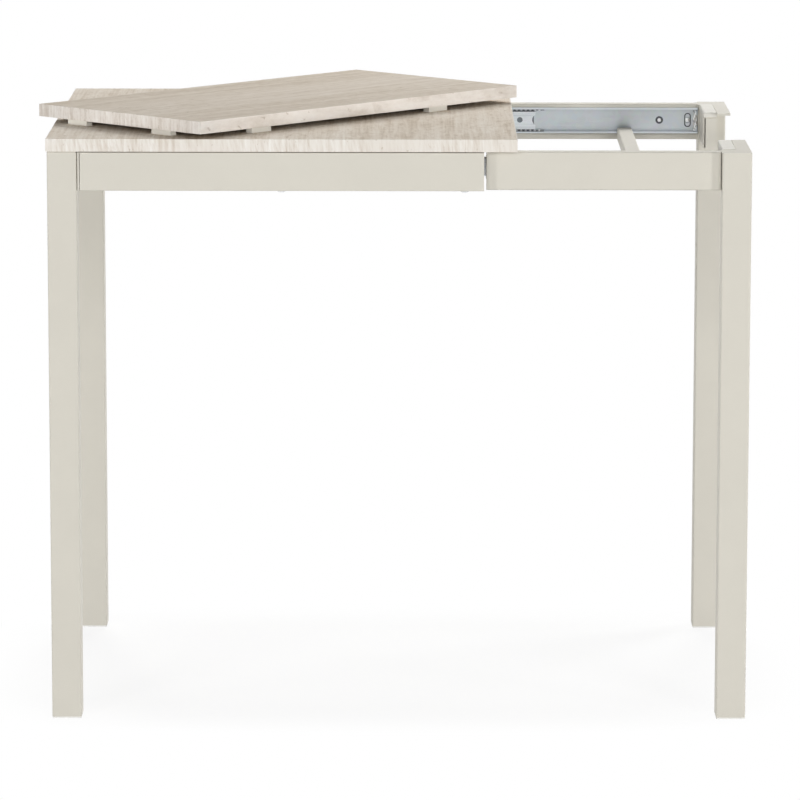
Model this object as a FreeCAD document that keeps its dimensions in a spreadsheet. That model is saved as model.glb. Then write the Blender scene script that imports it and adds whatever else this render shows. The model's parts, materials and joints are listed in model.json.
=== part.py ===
import FreeCAD, Part
import Sketcher
import math
import os
import re

# Extending dining table on four square legs, drawn pulled out, with its loose leaf askew on the main top.
# +X runs along the pull, +Y away from the front, +Z up, in millimetres.
# Lengths along X and Y are thought of from the middle of the pulled-out table, and table_x and table_y
# carry that middle to where the whole object's box is centred on the origin.

# Driving dimensions
DIMENSIONS = {
    # boards
    "table_height": 754,
    "board_thickness": 16,
    "edging": 1,
    "main_length": 600,
    "table_depth": 600,
    "extension": 300,
    # leaf as it lies on the main top
    "leaf_width": 300,
    "leaf_length": 600,
    "leaf_angle": 46.9,
    "leaf_x": -157,
    "leaf_y": 15,
    "block_length": 35,
    "block_width": 10,
    "block_height": 7,
    "block_inset": 5,
    "block_long_span": 334,
    "block_long_shift": -18,
    "block_short_span": 156,
    "block_short_shift": 5,
    # legs and feet
    "leg_inset": 1.5,
    "leg_size": 38,
    "tube_wall": 1.5,
    "leg_radius": 2.4,
    "cap_thickness": 3,
    "foot_height": 2,
    "foot_margin": 0.5,
    "plug_height": 16,
    "plug_gap": 0.2,
    # aprons and rails
    "apron_height": 49,
    "apron_fold": 8,
    "fold_sheet": 1.5,
    "fold_radius": 1,
    "shadow_gap": 1.2,
    "apron_groove": 1,
    "plate_groove": 0.9,
    "weld_groove": 1.2,
    "groove_depth": 6,
    "rail_thickness": 20,
    "rail_radius": 2,
    "rail_height": 31,
    "cross_rail": 20,
    "cross_rail_from_end": 22,
    "end_plate": 3,
    "side_gap": 2,
    "drop_gap": 1,
    "joint_gap": 3.2,
    "closing_gap": 2.8,
    "end_cap": 2,
    # cross bar and corner pieces of the moving frame
    "bar_width": 20,
    "bar_height": 17.5,
    "bar_from_leg": 101.5,
    "bar_rise": 0.3,
    "tongue_height": 5.5,
    "tongue_play": 0.8,
    "stub_width": 18,
    "stub_from_leg": 2,
    "stub_height": 43,
    "stub_length": 100,
    "stub_cap_step": 2.8,
    "stub_cap_drop": 1.2,
    "glide_height": 6.6,
    "glide_radius": 2,
    "corner_plate": 3,
    "corner_length": 108,
    # telescopic slides
    "slide_length": 299,
    "slide_height": 35,
    "slide_depth": 12.7,
    "slide_end_gap": 0.5,
    "slide_steel": 1.2,
    "slide_drop": 23,
    "bend_radius": 2,
    "outer_depth": 11.5,
    "lip_height": 2.2,
    "middle_length": 225,
    "middle_reach": 186.5,
    "middle_height": 24.4,
    "middle_web": 2.6,
    "middle_depth": 10.6,
    "rib_depth": 0.4,
    "rib_half": 5.5,
    "notch_depth": 4.5,
    "notch_radius": 8,
    "web_hole": 3.9,
    "web_hole_from_end": 21.5,
    "inner_height": 15.6,
    "inner_flange": 7.7,
    "stop_tab": 8,
    "stop_tab_height": 9,
    # ball cages of the slides
    "cage_length": 88,
    "cage_lead": 12,
    "cage_setback": 1,
    "cage_sheet": 0.6,
    "cage_strip": 1,
    "cage_notch": 14,
    "cage_play": 0.2,
    "outer_ball": 1.75,
    "outer_ball_pitch": 6.2,
    "inner_ball": 1.3,
    "inner_ball_pitch": 18,
    "ball_play": 0.3,
    # fasteners
    "bolt_radius": 4,
    "bolt_head": 6.5,
    "bolt_head_height": 5.3,
    "bolt_spacing": 24,
    "bolt_offset": 24,
    "bolt_length": 14,
    "screw_radius": 2.25,
    "screw_head": 5.7,
    "screw_head_height": 2.4,
    "screw_grip": 12,
    "screw_point_gap": 1,
    "hole_play": 0.1,
    "slide_screw_radius": 1.9,
    "slide_screw_head": 4.4,
    "slide_screw_head_height": 1.8,
    "slide_screw_length": 6,
    "slide_hole_radius": 2.2,
    "slide_slot_width": 6,
    "slide_slot_length": 16.5,
}

# Counts and places along the pull, from the middle of the pulled-out table
APRON_SCREWS_X = (-150, 83)
MOVING_SLIDE_SCREW_X = 357.5
MOVING_SLIDE_SLOT_X = 396.5
FIXED_SLIDE_SCREWS_X = (-160, 10)
OUTER_BALLS_PER_TRACK = 13
INNER_BALLS_PER_TRACK = 5

# Tolerances, in millimetres and cubic millimetres
SAME_PLACE = 1e-4
LEAST_CUT = 0.1

doc = FreeCAD.newDocument("ExtendingTable")
sheet = doc.addObject("Spreadsheet::Sheet", "Dims")
for row, (alias, size) in enumerate(DIMENSIONS.items(), 1):
    sheet.set(f"A{row}", alias)
    sheet.set(f"B{row}", str(size))
    sheet.setAlias(f"B{row}", alias)
doc.recompute()


def cell(expression):
    """The expression with each dimension's name turned into its cell of the sheet."""
    return re.sub(r"[a-z][a-z_]*[a-z]", r"Dims.\g<0>", str(expression))


def number(expression):
    """The value of an expression in dimensions."""
    return float(sheet.evalExpression(cell(expression)))


def centre_on_origin():
    """Adds table_x and table_y, which centre the box of table and askew leaf on the origin."""
    angle = math.radians(number("leaf_angle"))
    half_length = number("leaf_length") / 2
    half_width = number("leaf_width") / 2
    reach_x = half_length * math.cos(angle) + half_width * math.sin(angle)
    reach_y = half_length * math.sin(angle) + half_width * math.cos(angle)
    leaf_x = number("leaf_x")
    leaf_y = number("leaf_y")
    low_x = min(-number(TABLE_END), leaf_x - reach_x)
    high_x = max(number(LEG_OUTER), leaf_x + reach_x)
    low_y = min(-number("table_depth/2"), leaf_y - reach_y)
    high_y = max(number("table_depth/2"), leaf_y + reach_y)
    first_row = len(DIMENSIONS) + 1
    middles = {"table_x": -(low_x + high_x) / 2, "table_y": -(low_y + high_y) / 2}
    for row, (alias, size) in enumerate(middles.items(), first_row):
        sheet.set(f"A{row}", alias)
        sheet.set(f"B{row}", str(round(size, 4)))
        sheet.setAlias(f"B{row}", alias)
    doc.recompute()


# Planes that many pieces share
TABLE_END = "((main_length + extension)/2)"
LEG_OUTER = f"({TABLE_END} - leg_inset)"
LEG_INNER = f"({LEG_OUTER} - leg_size)"
PLATE_INNER = f"({LEG_INNER} - end_plate)"
UNDERSIDE = "(table_height - board_thickness)"
FIXED_TOP = f"({UNDERSIDE} - shadow_gap)"
MOVING_TOP = f"({UNDERSIDE} - drop_gap)"
FIXED_APRON_END = f"({LEG_INNER} - extension - closing_gap)"
MOVING_APRON_START = f"({FIXED_APRON_END} + joint_gap)"
MOVING_OUTER = "(apron_fold + side_gap)"
MOVING_INNER = f"({MOVING_OUTER} + rail_thickness)"
RAIL_OUTER = f"({MOVING_INNER} + slide_depth)"
RAIL_INNER = f"({RAIL_OUTER} + rail_thickness)"
SLIDE_Z = f"({UNDERSIDE} - slide_drop)"
SLIDE_END = f"({LEG_INNER} - slide_end_gap)"
centre_on_origin()


def front(offset):
    """Y of a plane that lies offset inward of the front legs' outer faces."""
    return f"(leg_inset - table_depth/2 + {offset})"


def place(piece, x, y, z):
    """Puts a piece's own origin at a point given from the middle of the pulled-out table."""
    for axis, expression in (("x", f"table_x + {x}"), ("y", f"table_y + {y}"), ("z", z)):
        piece.setExpression(f"Placement.Base.{axis}", cell(expression))


# Shapes shared by the sub-parts
nodes = []


def node(piece, label):
    piece.Label = label
    nodes.append(piece)
    return piece


def new_body(name):
    return doc.addObject("PartDesign::Body", name)


def new_sketch(body, role):
    sketch = body.newObject("Sketcher::SketchObject", body.Name + "_sketch")
    plane = next(item for item in body.Origin.OriginFeatures if item.Role == role)
    sketch.AttachmentSupport = [(plane, "")]
    sketch.MapMode = "FlatFace"
    return sketch


def bind(sketch, kind, first, first_point, second, second_point, expression):
    constraint = Sketcher.Constraint(kind, first, first_point, second, second_point, number(expression))
    index = sketch.addConstraint(constraint)
    sketch.setExpression(f"Constraints[{index}]", cell(expression))


def outline(sketch, points):
    """A closed outline of straight edges, each corner bound to the sheet."""
    first = sketch.GeometryCount
    count = len(points)
    corners = [FreeCAD.Vector(number(u), number(v), 0) for u, v in points]
    for index in range(count):
        edge = Part.LineSegment(corners[index], corners[(index + 1) % count])
        sketch.addGeometry(edge, False)
    for index in range(count):
        follower = first + (index + 1) % count
        sketch.addConstraint(Sketcher.Constraint("Coincident", first + index, 2, follower, 1))
    for index, (u, v) in enumerate(points):
        bind(sketch, "DistanceX", -1, 1, first + index, 1, u)
        bind(sketch, "DistanceY", -1, 1, first + index, 1, v)


def rectangle(sketch, u, v, width, height):
    """A rectangle whose low corner is at u, v."""
    far_u = f"{u} + {width}"
    far_v = f"{v} + {height}"
    outline(sketch, [(u, v), (far_u, v), (far_u, far_v), (u, far_v)])


def circle(sketch, u, v, radius):
    centre = FreeCAD.Vector(number(u), number(v), 0)
    ring = sketch.addGeometry(Part.Circle(centre, FreeCAD.Vector(0, 0, 1), number(radius)), False)
    bind(sketch, "DistanceX", -1, 1, ring, 3, u)
    bind(sketch, "DistanceY", -1, 1, ring, 3, v)
    index = sketch.addConstraint(Sketcher.Constraint("Radius", ring, number(radius)))
    sketch.setExpression(f"Constraints[{index}]", cell(radius))


def pad(body, sketch, length, backward=False):
    feature = body.newObject("PartDesign::Pad", body.Name + "_pad")
    feature.Profile = sketch
    feature.setExpression("Length", cell(length))
    feature.Reversed = backward
    return feature


def pocket(body, sketch, length, backward=False):
    """Cuts a sketch into the body and checks that material came away."""
    doc.recompute()
    before = body.Shape.Volume
    feature = body.newObject("PartDesign::Pocket", body.Name + "_pocket")
    feature.Profile = sketch
    feature.setExpression("Length", cell(length))
    feature.Reversed = backward
    doc.recompute()
    if body.Shape.Volume > before - LEAST_CUT:
        raise RuntimeError("nothing was cut from " + body.Name)
    return feature


def round_edges(body, feature, wanted, radius):
    """Rounds the feature's straight edges whose middle and direction satisfy wanted."""
    doc.recompute()
    names = []
    for index, edge in enumerate(feature.Shape.Edges, 1):
        ends = edge.Vertexes
        if len(ends) == 2 and wanted(edge.CenterOfMass, ends[1].Point - ends[0].Point):
            names.append(f"Edge{index}")
    fillet = body.newObject("PartDesign::Fillet", body.Name + "_fillet")
    fillet.Base = (feature, names)
    fillet.setExpression("Radius", cell(radius))
    return fillet


def mirrored(piece):
    """The piece's twin on the other long side of the table."""
    twin = doc.addObject("Part::Mirroring", piece.Name + "_twin")
    twin.Source = piece
    twin.Normal = FreeCAD.Vector(0, 1, 0)
    twin.setExpression("Base.y", cell("table_y"))
    return twin


def group(label, pieces):
    compound = doc.addObject("Part::Compound", label)
    compound.Links = pieces
    return node(compound, label)


def pair(label, piece):
    return group(label, [piece, mirrored(piece)])


ALONG = {"YZ_Plane": 0, "XZ_Plane": 1, "XY_Plane": 2}


def tube(name, role, width, height, radius, length):
    """A square-section tube from its own origin along +X, +Y or +Z, with its long edges rounded."""
    body = new_body(name)
    sketch = new_sketch(body, role)
    rectangle(sketch, f"-({width})/2", f"-({height})/2", width, height)
    rectangle(sketch, f"tube_wall - ({width})/2", f"tube_wall - ({height})/2",
              f"{width} - 2*tube_wall", f"{height} - 2*tube_wall")
    feature = pad(body, sketch, length, backward=role == "XZ_Plane")
    axis = ALONG[role]
    across = [index for index in range(3) if index != axis]
    reach = (number(width) / 2, number(height) / 2)

    def outer_corner(middle, direction):
        slant = abs(direction[across[0]]) + abs(direction[across[1]])
        gaps = [abs(abs(middle[across[side]]) - reach[side]) for side in range(2)]
        return slant + sum(gaps) < SAME_PLACE

    round_edges(body, feature, outer_corner, radius)
    return body


def block(name, length, width, height):
    """A plain rectangular piece with its low corner at its own origin."""
    box = doc.addObject("Part::Box", name)
    for side, expression in (("Length", length), ("Width", width), ("Height", height)):
        box.setExpression(side, cell(expression))
    return box


def disc(name, radius, height, direction):
    """A round piece from its own origin along a direction."""
    cylinder = doc.addObject("Part::Cylinder", name)
    cylinder.setExpression("Radius", cell(radius))
    cylinder.setExpression("Height", cell(height))
    cylinder.Placement = FreeCAD.Placement(
        FreeCAD.Vector(), FreeCAD.Rotation(FreeCAD.Vector(0, 0, 1), FreeCAD.Vector(*direction)))
    return cylinder


def fused(name, pieces):
    union = doc.addObject("Part::MultiFuse", name)
    union.Shapes = pieces
    return union


# Boards
def edging_strips(name, length, width):
    """Four strips round a board that is centred on their common origin."""
    side_width = f"{width} - 2*edging"
    strips = []
    for end, sign in (("low", -1), ("high", 1)):
        long_strip = block(f"{name}_{end}_long", length, "edging", "board_thickness")
        long_y = f"-({width})/2" if sign < 0 else f"({width})/2 - edging"
        strips.append((long_strip, f"-({length})/2", long_y))
        short_strip = block(f"{name}_{end}_short", "edging", side_width, "board_thickness")
        short_x = f"-({length})/2" if sign < 0 else f"({length})/2 - edging"
        strips.append((short_strip, short_x, f"-({side_width})/2"))
    for strip, x, y in strips:
        strip.setExpression("Placement.Base.x", cell(x))
        strip.setExpression("Placement.Base.y", cell(y))
    return [strip for strip, x, y in strips]


def board(name, length, width):
    body = new_body(name)
    sketch = new_sketch(body, "XY_Plane")
    core_length = f"{length} - 2*edging"
    core_width = f"{width} - 2*edging"
    rectangle(sketch, f"-({core_length})/2", f"-({core_width})/2", core_length, core_width)
    pad(body, sketch, "board_thickness")
    return body


MAIN_TOP_X = "(-extension/2)"
main_top = node(board("main_top", "main_length", "table_depth"), "main_top")
pilot_holes = new_sketch(main_top, "XY_Plane")
for screw_x in APRON_SCREWS_X:
    for side in (-1, 1):
        pilot_y = f"{side}*(table_depth/2 - leg_inset - apron_fold/2)"
        circle(pilot_holes, f"{screw_x} + extension/2", pilot_y, "screw_radius + hole_play")
pocket(main_top, pilot_holes, "screw_grip", backward=True)
place(main_top, MAIN_TOP_X, "0", UNDERSIDE)
main_edging = group("main_top_edging", edging_strips("main_edging", "main_length", "table_depth"))
place(main_edging, MAIN_TOP_X, "0", UNDERSIDE)


# Loose leaf, turned in plan, lying on its locating blocks
def turn_with_leaf(piece, z):
    place(piece, "leaf_x", "leaf_y", z)
    piece.setExpression("Placement.Rotation.Angle", cell("leaf_angle"))
    piece.Placement.Rotation.Axis = FreeCAD.Vector(0, 0, 1)


def leaf_blocks():
    """Two blocks along each edge of the leaf, on its underside."""
    half_length = "(leaf_length/2)"
    half_width = "(leaf_width/2)"
    pieces = []
    for side_x in (-1, 1):
        for side_y in (-1, 1):
            corner = f"{'left' if side_x < 0 else 'right'}_{'near' if side_y < 0 else 'far'}"
            along = block(f"block_long_{corner}", "block_length", "block_width", "block_height")
            along_x = f"{side_x}*block_long_span/2 + block_long_shift - block_length/2"
            along_y = f"{side_y}*({half_width} - block_inset - block_width/2) - block_width/2"
            across = block(f"block_short_{corner}", "block_width", "block_length", "block_height")
            across_x = f"{side_x}*({half_length} - block_inset - block_width/2) - block_width/2"
            across_y = f"{side_y}*block_short_span/2 + block_short_shift - block_length/2"
            for piece, x, y in ((along, along_x, along_y), (across, across_x, across_y)):
                piece.setExpression("Placement.Base.x", cell(x))
                piece.setExpression("Placement.Base.y", cell(y))
                pieces.append(piece)
    return pieces


LEAF_UNDERSIDE = "(table_height + block_height)"
turn_with_leaf(node(board("leaf_board", "leaf_length", "leaf_width"), "leaf_board"), LEAF_UNDERSIDE)
leaf_strips = edging_strips("leaf_strips", "leaf_length", "leaf_width")
turn_with_leaf(group("leaf_edging", leaf_strips), LEAF_UNDERSIDE)
turn_with_leaf(group("leaf_blocks", leaf_blocks()), "table_height")


# Legs, each a tube closed by a plate at the top and stopped by a foot
def leg(name, side, top):
    """Side is -1 for the fixed left pair and 1 for the moving right pair."""
    body = tube(name, "XY_Plane", "leg_size", "leg_size", "leg_radius", f"{top} - foot_height")
    place(body, f"{side}*({LEG_OUTER} - leg_size/2)", front("leg_size/2"), "foot_height")
    return body


def leg_cap(name, side, top):
    inside = "leg_size - 2*tube_wall"
    plate = block(name, inside, inside, "cap_thickness")
    cap_x = f"{side}*({LEG_OUTER} - leg_size/2) - ({inside})/2"
    place(plate, cap_x, front("tube_wall"), f"{top} - cap_thickness")
    return plate


def foot(name, side):
    """A glide with a plug that stands up into the tube."""
    body = new_body(name)
    sole = new_sketch(body, "XY_Plane")
    sole_width = "leg_size - 2*foot_margin"
    rectangle(sole, f"-({sole_width})/2", f"-({sole_width})/2", sole_width, sole_width)
    sole_pad = pad(body, sole, "foot_height")
    reach = number(sole_width) / 2

    def upright(middle, direction):
        return abs(direction.z) > SAME_PLACE and abs(abs(middle.x) - reach) < SAME_PLACE

    round_edges(body, sole_pad, upright, "leg_radius - foot_margin")
    plug = new_sketch(body, "XY_Plane")
    plug_width = "leg_size - 2*tube_wall - 2*plug_gap"
    rectangle(plug, f"-({plug_width})/2", f"-({plug_width})/2", plug_width, plug_width)
    pad(body, plug, "foot_height + plug_height")
    place(body, f"{side}*({LEG_OUTER} - leg_size/2)", front("leg_size/2"), "0")
    return body


LEG_PAIRS = (("left", -1, FIXED_TOP, UNDERSIDE), ("right", 1, MOVING_TOP, MOVING_TOP))
for pair_name, side, top, cap_top in LEG_PAIRS:
    front_leg = leg(f"{pair_name}_front_leg", side, top)
    if side < 0:
        bolt_holes = new_sketch(front_leg, "YZ_Plane")
        for level in (-1, 1):
            hole_z = f"{FIXED_TOP} - foot_height - apron_height/2 + {level}*bolt_spacing/2"
            circle(bolt_holes, "bolt_offset - leg_size/2", hole_z, "bolt_radius + hole_play")
        pocket(front_leg, bolt_holes, "leg_size", backward=True)
    node(front_leg, f"{pair_name}_front_leg")
    node(mirrored(front_leg), f"{pair_name}_back_leg")
    pair(f"{pair_name}_leg_caps", leg_cap(f"{pair_name}_cap", side, cap_top))
    pair(f"{pair_name}_feet", foot(f"{pair_name}_foot", side))


# Fixed frame: folded aprons flush with the legs, inner rails that carry the slides, and cross rails
def folded_apron(name):
    """A sheet channel, open to the middle of the table, with screw holes and a groove at the leg end."""
    body = new_body(name)
    profile = new_sketch(body, "YZ_Plane")
    inner_low = "fold_sheet"
    inner_high = "apron_height - fold_sheet"
    outline(profile, [("0", "0"), ("apron_fold", "0"), ("apron_fold", inner_low), ("fold_sheet", inner_low),
                      ("fold_sheet", inner_high), ("apron_fold", inner_high), ("apron_fold", "apron_height"),
                      ("0", "apron_height")])
    folded = pad(body, profile, f"{FIXED_APRON_END} + {PLATE_INNER}")

    def outer_fold(middle, direction):
        return abs(direction.x) > SAME_PLACE and abs(middle.y) < SAME_PLACE

    round_edges(body, folded, outer_fold, "fold_radius")
    holes = new_sketch(body, "XY_Plane")
    for screw_x in APRON_SCREWS_X:
        circle(holes, f"{screw_x} + {PLATE_INNER}", "apron_fold/2", "screw_radius + hole_play")
    pocket(body, holes, "apron_height", backward=True)
    groove = new_sketch(body, "XZ_Plane")
    rectangle(groove, "0", "0", "apron_groove", "apron_height")
    pocket(body, groove, "fold_sheet")
    place(body, f"-{PLATE_INNER}", front("0"), f"{FIXED_TOP} - apron_height")
    return body


def inner_rail(name):
    length = f"{FIXED_APRON_END} + {PLATE_INNER}"
    body = tube(name, "YZ_Plane", "rail_thickness", "rail_height", "rail_radius", length)
    holes = new_sketch(body, "XZ_Plane")
    for screw_x in FIXED_SLIDE_SCREWS_X:
        hole_z = f"{SLIDE_Z} - ({UNDERSIDE} - rail_height/2)"
        circle(holes, f"{screw_x} + {PLATE_INNER}", hole_z, "slide_screw_radius + hole_play")
    pocket(body, holes, "rail_thickness", backward=True)
    middle = front(f"{RAIL_OUTER} + rail_thickness/2")
    place(body, f"-{PLATE_INNER}", middle, f"{UNDERSIDE} - rail_height/2")
    return body


def fixed_end_plate(name):
    """The plate that joins apron and inner rail to the leg, grooved along the joint that shows."""
    body = new_body(name)
    sketch = new_sketch(body, "YZ_Plane")
    rectangle(sketch, "0", "0", RAIL_INNER, "apron_height")
    for level in (-1, 1):
        circle(sketch, "bolt_offset", f"apron_height/2 + {level}*bolt_spacing/2", "bolt_radius + hole_play")
    pad(body, sketch, "end_plate")
    groove = new_sketch(body, "XY_Plane")
    rectangle(groove, "0", "0", "plate_groove", "groove_depth")
    pocket(body, groove, "apron_height", backward=True)
    place(body, f"-{LEG_INNER}", front("0"), f"{FIXED_TOP} - apron_height")
    return body


def leg_bolt(name, level):
    """A bolt with a hexagon head on the plate's inner face."""
    head = doc.addObject("Part::Prism", name + "_head")
    head.Polygon = 6
    head.setExpression("Circumradius", cell("bolt_head"))
    head.setExpression("Height", cell("bolt_head_height"))
    head.Placement = FreeCAD.Placement(FreeCAD.Vector(), FreeCAD.Rotation(FreeCAD.Vector(0, 1, 0), 90))
    shank = disc(name + "_shank", "bolt_radius", "bolt_length", (-1, 0, 0))
    bolt = fused(name, [head, shank])
    place(bolt, f"-{PLATE_INNER}", front("bolt_offset"),
          f"{FIXED_TOP} - apron_height/2 + {level}*bolt_spacing/2")
    return bolt


def apron_screw(name, screw_x):
    """A pan-head screw up through both folds of the apron into the main top."""
    head = disc(name + "_head", "screw_head", "screw_head_height", (0, 0, -1))
    shank_length = "apron_height + shadow_gap + screw_grip - screw_point_gap"
    shank = disc(name + "_shank", "screw_radius", shank_length, (0, 0, 1))
    screw = fused(name, [head, shank])
    place(screw, screw_x, front("apron_fold/2"), f"{FIXED_TOP} - apron_height")
    return screw


front_apron = node(folded_apron("fixed_front_apron"), "fixed_front_apron")
node(mirrored(front_apron), "fixed_back_apron")
front_rail = node(inner_rail("front_inner_rail"), "front_inner_rail")
node(mirrored(front_rail), "back_inner_rail")
pair("fixed_end_plates", fixed_end_plate("fixed_plate"))

left_rail_length = "table_depth - 2*leg_inset - 2*leg_size"
left_rail = tube("left_end_rail", "XZ_Plane", "rail_thickness", "apron_height", "rail_radius",
                 left_rail_length)
place(left_rail, f"-({LEG_OUTER} - leg_size/2)", front("leg_size"), f"{UNDERSIDE} - apron_height/2")
node(left_rail, "left_end_rail")

cross_length = f"table_depth - 2*leg_inset - 2*{RAIL_INNER}"
cross_rail = tube("head_cross_rail", "XZ_Plane", "cross_rail", "cross_rail", "rail_radius", cross_length)
cross_x = f"{FIXED_APRON_END} - cross_rail_from_end"
place(cross_rail, cross_x, front(RAIL_INNER), f"{UNDERSIDE} - cross_rail/2")
node(cross_rail, "head_cross_rail")

bolts = [leg_bolt(f"leg_bolt_{name}", level) for name, level in (("low", -1), ("high", 1))]
group("leg_bolts", bolts + [mirrored(bolt) for bolt in bolts])
screws = [apron_screw(f"apron_screw_{index}", screw_x) for index, screw_x in enumerate(APRON_SCREWS_X)]
group("apron_screws", screws + [mirrored(screw) for screw in screws])


# Moving frame: tube aprons behind the folded ones, joined to the right legs
MOVING_APRON_TUBE = f"({MOVING_APRON_START} + end_cap)"


def moving_apron(name):
    length = f"{PLATE_INNER} - {MOVING_APRON_TUBE}"
    body = tube(name, "YZ_Plane", "rail_thickness", "apron_height", "rail_radius", length)
    holes = new_sketch(body, "XZ_Plane")
    for screw_x in (MOVING_SLIDE_SCREW_X, MOVING_SLIDE_SLOT_X):
        hole_z = f"{SLIDE_Z} - ({MOVING_TOP} - apron_height/2)"
        circle(holes, f"{screw_x} - {MOVING_APRON_TUBE}", hole_z, "slide_screw_radius + hole_play")
    pocket(body, holes, "rail_thickness")
    middle = front(f"{MOVING_OUTER} + rail_thickness/2")
    place(body, MOVING_APRON_TUBE, middle, f"{MOVING_TOP} - apron_height/2")
    return body


def apron_cap(name):
    """A moulded plug cap that closes the free end of a moving apron."""
    body = new_body(name)
    sketch = new_sketch(body, "YZ_Plane")
    rectangle(sketch, "-rail_thickness/2", "-apron_height/2", "rail_thickness", "apron_height")
    face = pad(body, sketch, "end_cap")
    reach = number("rail_thickness") / 2

    def corner(middle, direction):
        return abs(direction.x) > SAME_PLACE and abs(abs(middle.y) - reach) < SAME_PLACE

    round_edges(body, face, corner, "rail_radius")
    plug = new_sketch(body, "YZ_Plane")
    plug_width = "rail_thickness - 2*tube_wall - 2*plug_gap"
    plug_height = "apron_height - 2*tube_wall - 2*plug_gap"
    rectangle(plug, f"-({plug_width})/2", f"-({plug_height})/2", plug_width, plug_height)
    pad(body, plug, "end_cap + plug_height/2")
    middle = front(f"{MOVING_OUTER} + rail_thickness/2")
    place(body, MOVING_APRON_START, middle, f"{MOVING_TOP} - apron_height/2")
    return body


moving_front = node(moving_apron("moving_front_apron"), "moving_front_apron")
node(mirrored(moving_front), "moving_back_apron")
pair("moving_apron_caps", apron_cap("moving_apron_cap"))


def weld_plate(name):
    """The plate between a moving apron and its leg, stepped back from the leg where the joint shows."""
    body = new_body(name)
    sketch = new_sketch(body, "XY_Plane")
    step = "end_plate - weld_groove"
    outline(sketch, [("0", "0"), (step, "0"), (step, "groove_depth"), ("end_plate", "groove_depth"),
                     ("end_plate", "rail_thickness"), ("0", "rail_thickness")])
    pad(body, sketch, "apron_height")
    place(body, PLATE_INNER, front(MOVING_OUTER), f"{MOVING_TOP} - apron_height")
    return body


pair("moving_end_plates", weld_plate("moving_plate"))

BAR_X = f"({LEG_INNER} - bar_from_leg)"
BAR_START = f"({RAIL_OUTER} + tongue_play)"
BAR_LOW = f"({MOVING_TOP} - apron_height + bar_rise)"
bar_length = f"table_depth - 2*leg_inset - 2*{BAR_START}"
cross_bar = tube("leaf_cross_bar", "XZ_Plane", "bar_width", "bar_height", "rail_radius", bar_length)
place(cross_bar, BAR_X, front(BAR_START), f"{BAR_LOW} + bar_height/2")
node(cross_bar, "leaf_cross_bar")
tongue_length = f"{BAR_START} - {MOVING_INNER}"
bar_tongue = block("bar_tongue", "bar_width - 2*tube_wall", tongue_length, "tongue_height")
place(bar_tongue, f"{BAR_X} - bar_width/2 + tube_wall", front(MOVING_INNER), BAR_LOW)
pair("cross_bar_tongues", bar_tongue)

STUB_X = f"({LEG_INNER} + stub_from_leg)"
STUB_LOW = f"({MOVING_TOP} - apron_height)"
stub = tube("corner_stub", "XZ_Plane", "stub_width", "stub_height", "rail_radius", "stub_length")
place(stub, f"{STUB_X} + stub_width/2", front("leg_size"), f"{STUB_LOW} + stub_height/2")
pair("corner_stubs", stub)
stub_cap = block("corner_stub_cap", "stub_width - stub_cap_step", "end_cap", "stub_height - stub_cap_drop")
place(stub_cap, f"{STUB_X} + stub_cap_step", front("leg_size + stub_length"), STUB_LOW)
pair("corner_stub_caps", stub_cap)


def corner_glide(name):
    """A nylon pad along the stub, with its upper edges rounded, on which the boards slide and rest."""
    body = new_body(name)
    sketch = new_sketch(body, "XY_Plane")
    glide_length = "stub_length + end_cap"
    rectangle(sketch, "0", "0", "stub_width", glide_length)
    feature = pad(body, sketch, "glide_height")
    top = number("glide_height")

    def upper(middle, direction):
        return abs(middle.z - top) < SAME_PLACE and middle.y > SAME_PLACE

    round_edges(body, feature, upper, "glide_radius")
    place(body, STUB_X, front("leg_size"), f"{STUB_LOW} + stub_height")
    return body


pair("corner_glides", corner_glide("corner_glide"))
plate_width = "leg_size - stub_from_leg - stub_width"
corner_plate = block("corner_plate", plate_width, "corner_length", "corner_plate")
place(corner_plate, f"{STUB_X} + stub_width", front("leg_size"), f"{MOVING_TOP} - corner_plate")
pair("corner_plates", corner_plate)


# Telescopic slides: three nested channels on two sets of caged balls, drawn for the front and mirrored
OUTER_BALL_V = "(slide_height/2 - slide_steel - ball_play - outer_ball)"
INNER_BALL_V = "(middle_height/2 - slide_steel - ball_play - inner_ball)"
OUTER_BALL_U = "(outer_depth/2 + slide_steel/2)"
INNER_BALL_U = "(middle_depth/2 + middle_web/2)"
MIDDLE_START = "(middle_reach - middle_length)"
INNER_START = "(middle_reach - middle_length - extension/2)"


def channel_points(low_u, high_u, half, lip, opens_inward=True):
    """A channel section with optional lips; half is half its height, u runs to the middle of the table."""
    if lip == "0":
        upper = [(high_u, f"{half} - slide_steel"), (high_u, half)]
    else:
        lip_inside = f"{high_u} - slide_steel"
        upper = [(lip_inside, f"{half} - slide_steel"), (lip_inside, f"{half} - {lip}"),
                 (high_u, f"{half} - {lip}"), (high_u, half)]
    inside = f"{low_u} + slide_steel"
    half_outline = [(inside, f"{half} - slide_steel")] + upper + [(low_u, half)]
    points = half_outline + flipped(half_outline)
    if opens_inward:
        return points
    return [(f"{low_u} + {high_u} - ({u})", v) for u, v in points]


def flipped(points):
    """The same points below the slide's middle plane, in the opposite order."""
    return [(u, f"-({v})") for u, v in reversed(points)]


def ribbed_points():
    """The middle channel's section, whose web has a shallow rib pressed along it."""
    half = "middle_height/2"
    inside = "middle_web + slide_steel"
    shoulder = "rib_half + rib_depth"
    upper = [(f"{inside} - rib_depth", "rib_half"), (inside, shoulder), (inside, f"{half} - slide_steel"),
             ("middle_depth", f"{half} - slide_steel"), ("middle_depth", half), ("middle_web", half),
             ("middle_web", shoulder), ("middle_web - rib_depth", "rib_half")]
    return upper + flipped(upper)


def round_bends(body, feature, corners, radius):
    """Rounds the long edges that pass through the given corners of the section, above and below."""
    wanted_corners = [(number(u), number(v)) for u, v in corners]

    def bend(middle, direction):
        if abs(direction.y) + abs(direction.z) > SAME_PLACE:
            return False
        gaps = [abs(middle.y - u) + abs(abs(middle.z) - v) for u, v in wanted_corners]
        return min(gaps) < SAME_PLACE

    return round_edges(body, feature, bend, radius)


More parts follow.
